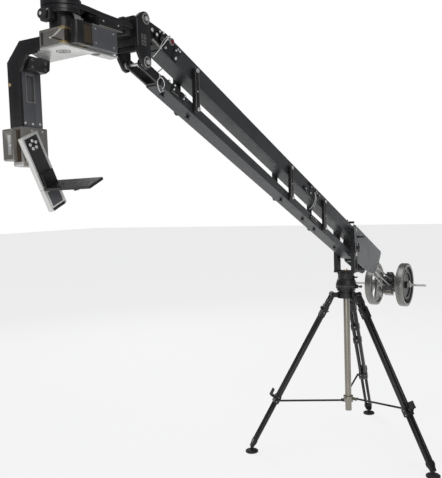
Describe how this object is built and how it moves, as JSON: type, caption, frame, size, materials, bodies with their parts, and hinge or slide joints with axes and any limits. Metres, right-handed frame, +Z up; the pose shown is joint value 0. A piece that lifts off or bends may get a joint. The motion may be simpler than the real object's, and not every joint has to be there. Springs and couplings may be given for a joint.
{
  "type": "camera jib crane",
  "caption": "Camera jib crane: a rising twin-beam parallelogram arm on a folding three-legged stand, with bar weights behind and a hanging two-axis remote camera head in front.",
  "frame": {"origin": "on the floor under the middle of the crane's outline seen from above; the stand's axis is 731 mm from it along +X and 47 mm along +Y", "axes": "+Z up, X along the arm with the camera head towards -X and the weights towards +X, Y across the arm"},
  "size_m": [3.6946, 1.2508, 2.4057],
  "materials": {
    "black_paint": "satin black powder coat",
    "black_cast": "black anodised aluminium",
    "beam_grey": "dark grey hammered paint over aluminium",
    "plate_grey": "mid grey hammered paint over aluminium",
    "bright_steel": "bright turned steel",
    "weight_silver": "silver hammered paint over cast iron",
    "weight_dark": "dark grey paint over cast iron",
    "column_beige": "champagne anodised tube",
    "head_silver": "clear anodised aluminium",
    "head_black": "black anodised aluminium",
    "rubber": "moulded rubber",
    "black_plastic": "moulded knob plastic",
    "cable_grey": "grey cable sheath",
    "brass": "polished brass"
  },
  "bodies": {
    "stand": {"crown": "black_cast", "centre_column": "column_beige", "column_cap": "black_plastic", "leg_hinge_pins": "bright_steel", "pan_base": "black_cast"},
    "spreader": {"spreader_hub": "black_cast"},
    "leg_left": {"upper_leg_left": "black_cast"},
    "lower_leg_left": {"lower_leg_left": "black_cast"},
    "foot_left": {"foot_left": "rubber"},
    "clamp_left": {"clamp_lever_left": "black_plastic"},
    "rod_left": {"spreader_rod_left": "black_cast"},
    "leg_right": {"upper_leg_right": "black_cast"},
    "lower_leg_right": {"lower_leg_right": "black_cast"},
    "foot_right": {"foot_right": "rubber"},
    "clamp_right": {"clamp_lever_right": "black_plastic"},
    "rod_right": {"spreader_rod_right": "black_cast"},
    "leg_rear": {"upper_leg_rear": "black_cast"},
    "lower_leg_rear": {"lower_leg_rear": "black_cast"},
    "foot_rear": {"foot_rear": "rubber"},
    "clamp_rear": {"clamp_lever_rear": "black_plastic"},
    "rod_rear": {"spreader_rod_rear": "black_cast"},
    "turret": {"pan_drum": "black_cast", "fork": "black_cast", "fork_pins": "bright_steel", "spirit_level": "brass", "drag_cable": "cable_grey"},
    "pan_knob": {"pan_brake_knob": "black_plastic"},
    "drag_knob": {"drag_handle": "black_plastic"},
    "boom": {"upper_beam_front": "beam_grey", "upper_beam_rear": "beam_grey", "beam_end_plates": "black_cast", "section_plates": "black_cast", "safety_wires": "bright_steel", "boom_pins": "bright_steel", "rear_side_plates": "plate_grey", "guide_rods": "bright_steel"},
    "lower_boom": {"lower_beam": "beam_grey", "lower_fittings": "black_cast", "lower_pins": "bright_steel"},
    "front_link": {"front_link": "black_cast"},
    "middle_link": {"middle_link": "black_cast"},
    "rear_link": {"rear_link": "black_cast"},
    "head_mount": {"front_plates": "black_cast", "head_bracket": "black_cast", "head_drum": "black_cast"},
    "head_knob": {"head_lock_knob": "black_plastic"},
    "lock": {"lock_handle": "black_plastic"},
    "trolley": {"trolley": "black_cast", "weight_bar": "bright_steel"},
    "near_weights": {"near_plate": "weight_silver", "small_plate": "weight_dark", "near_collar": "bright_steel"},
    "far_weights": {"far_plate": "weight_silver", "far_collar": "bright_steel"},
    "head_pan": {"yoke": "head_silver", "yoke_housing": "head_black", "side_arm": "head_black", "tilt_motor": "head_silver"},
    "head_tilt": {"tilt_arm": "head_silver"},
    "platform": {"camera_platform": "head_black"}
  },
  "joints": [
    {"name": "spreader_slide", "type": "slide", "parent": "stand", "child": "spreader", "axis": [0, 0, 1], "range_m": [0, 0.3587]},
    {"name": "leg_left_fold", "type": "hinge", "parent": "stand", "child": "leg_left", "pos_m": [0.6716, 0.12285, 1.05], "axis": [-0.788, -0.6157, 0], "range_deg": [0, 24.5]},
    {"name": "leg_left_length", "type": "slide", "parent": "leg_left", "child": "lower_leg_left", "axis": [0.3078, -0.394, 0.866], "range_m": [0, 0.25]},
    {"name": "foot_left_tilt", "type": "hinge", "parent": "lower_leg_left", "child": "foot_left", "pos_m": [0.31259, 0.58236, 0.04], "axis": [-0.788, -0.6157, 0], "range_deg": [-30, 15]},
    {"name": "clamp_left_lever", "type": "hinge", "parent": "leg_left", "child": "clamp_left", "pos_m": [0.40768, 0.46065, 0.37951], "axis": [-0.788, -0.6157, 0], "range_deg": [0, 80]},
    {"name": "rod_left_hinge", "type": "hinge", "parent": "spreader", "child": "rod_left", "pos_m": [0.70115, 0.08503, 0.325], "axis": [-0.788, -0.6157, 0], "range_deg": [0, 77.67]},
    {"name": "leg_right_fold", "type": "hinge", "parent": "stand", "child": "leg_right", "pos_m": [0.69474, -0.04181, 1.05], "axis": [0.9272, -0.3746, 0], "range_deg": [0, 24.5]},
    {"name": "leg_right_length", "type": "slide", "parent": "leg_right", "child": "lower_leg_right", "axis": [0.1873, 0.4636, 0.866], "range_m": [0, 0.25]},
    {"name": "foot_right_tilt", "type": "hinge", "parent": "lower_leg_right", "child": "foot_right", "pos_m": [0.4763, -0.58247, 0.04], "axis": [0.9272, -0.3746, 0], "range_deg": [-30, 15]},
    {"name": "clamp_right_lever", "type": "hinge", "parent": "leg_right", "child": "clamp_right", "pos_m": [0.53415, -0.43927, 0.37951], "axis": [0.9272, -0.3746, 0], "range_deg": [0, 80]},
    {"name": "rod_right_hinge", "type": "hinge", "parent": "spreader", "child": "rod_right", "pos_m": [0.71272, 0.00269, 0.325], "axis": [0.9272, -0.3746, 0], "range_deg": [0, 77.67]},
    {"name": "leg_rear_fold", "type": "hinge", "parent": "stand", "child": "leg_rear", "pos_m": [0.82577, 0.06056, 1.05], "axis": [-0.1392, 0.9903, 0], "range_deg": [0, 24.5]},
    {"name": "leg_rear_length", "type": "slide", "parent": "leg_rear", "child": "lower_leg_rear", "axis": [-0.4951, -0.0696, 0.866], "range_m": [0, 0.25]},
    {"name": "foot_rear_tilt", "type": "hinge", "parent": "lower_leg_rear", "child": "foot_rear", "pos_m": [1.40322, 0.14172, 0.04], "axis": [-0.1392, 0.9903, 0], "range_deg": [-30, 15]},
    {"name": "clamp_rear_lever", "type": "hinge", "parent": "leg_rear", "child": "clamp_rear", "pos_m": [1.25027, 0.12022, 0.37951], "axis": [-0.1392, 0.9903, 0], "range_deg": [0, 80]},
    {"name": "rod_rear_hinge", "type": "hinge", "parent": "spreader", "child": "rod_rear", "pos_m": [0.77823, 0.05388, 0.325], "axis": [-0.1392, 0.9903, 0], "range_deg": [0, 77.67]},
    {"name": "crane_pan", "type": "hinge", "parent": "stand", "child": "turret", "pos_m": [0.7307, 0.0472, 1.15], "axis": [0, 0, 1], "continuous": true},
    {"name": "pan_knob_turn", "type": "hinge", "parent": "turret", "child": "pan_knob", "pos_m": [0.7307, -0.0328, 1.102], "axis": [0, 1, 0], "range_deg": [0, 180]},
    {"name": "drag_handle_turn", "type": "hinge", "parent": "turret", "child": "drag_knob", "pos_m": [0.7307, -0.0328, 1.364], "axis": [0, 1, 0], "range_deg": [0, 180]},
    {"name": "boom_tilt", "type": "hinge", "parent": "turret", "child": "boom", "pos_m": [0.7307, 0.0472, 1.48], "axis": [0, 1, 0], "range_deg": [-38, 18]},
    {"name": "lower_beam_tilt", "type": "hinge", "parent": "turret", "child": "lower_boom", "pos_m": [0.7307, 0.0472, 1.32], "axis": [0, 1, 0], "range_deg": [-38, 18]},
    {"name": "front_link_swing", "type": "hinge", "parent": "boom", "child": "front_link", "pos_m": [-1.05968, 0.0472, 2.23997], "axis": [0, -1, 0], "range_deg": [-38, 18]},
    {"name": "middle_link_swing", "type": "hinge", "parent": "boom", "child": "middle_link", "pos_m": [-0.176, 0.0472, 1.86487], "axis": [0, -1, 0], "range_deg": [-38, 18]},
    {"name": "rear_link_swing", "type": "hinge", "parent": "boom", "child": "rear_link", "pos_m": [0.26861, 0.0472, 1.67615], "axis": [0, -1, 0], "range_deg": [-38, 18]},
    {"name": "head_level", "type": "hinge", "parent": "boom", "child": "head_mount", "pos_m": [-1.38646, 0.0472, 2.37868], "axis": [0, -1, 0], "range_deg": [-38, 18]},
    {"name": "head_knob_turn", "type": "hinge", "parent": "head_mount", "child": "head_knob", "pos_m": [-1.8313, 0.0472, 2.301], "axis": [1, 0, 0], "range_deg": [0, 180]},
    {"name": "lock_handle_turn", "type": "hinge", "parent": "boom", "child": "lock", "pos_m": [0.7627, 0.0472, 1.50933], "axis": [0.3907, 0, 0.9205], "range_deg": [0, 180]},
    {"name": "trolley_slide", "type": "slide", "parent": "boom", "child": "trolley", "axis": [0.9205, 0, -0.3907], "range_m": [-0.2, 0.02]},
    {"name": "near_weights_slide", "type": "slide", "parent": "trolley", "child": "near_weights", "axis": [0, -1, 0], "range_m": [0, 0.11]},
    {"name": "far_weights_slide", "type": "slide", "parent": "trolley", "child": "far_weights", "axis": [0, 1, 0], "range_m": [0, 0.11]},
    {"name": "head_pan", "type": "hinge", "parent": "head_mount", "child": "head_pan", "pos_m": [-1.7553, 0.0472, 2.3], "axis": [0, 0, 1], "continuous": true},
    {"name": "head_tilt", "type": "hinge", "parent": "head_pan", "child": "head_tilt", "pos_m": [-1.7953, 0.2072, 1.899], "axis": [0, 1, 0], "range_deg": [-90, 90]},
    {"name": "platform_height", "type": "slide", "parent": "head_tilt", "child": "platform", "axis": [-0.4384, 0, 0.8988], "range_m": [0, 0.05]}
  ],
  "couplings": [
    {"joint": "rod_left_hinge", "follows": "leg_left_fold", "ratio": 3.1698},
    {"joint": "leg_right_fold", "follows": "leg_left_fold", "ratio": 1},
    {"joint": "rod_right_hinge", "follows": "leg_left_fold", "ratio": 3.1698},
    {"joint": "leg_rear_fold", "follows": "leg_left_fold", "ratio": 1},
    {"joint": "rod_rear_hinge", "follows": "leg_left_fold", "ratio": 3.1698},
    {"joint": "spreader_slide", "follows": "leg_left_fold", "m_per_rad": 0.83836},
    {"joint": "lower_beam_tilt", "follows": "boom_tilt", "ratio": 1},
    {"joint": "front_link_swing", "follows": "boom_tilt", "ratio": 1},
    {"joint": "middle_link_swing", "follows": "boom_tilt", "ratio": 1},
    {"joint": "rear_link_swing", "follows": "boom_tilt", "ratio": 1},
    {"joint": "head_level", "follows": "boom_tilt", "ratio": 1}
  ]
}
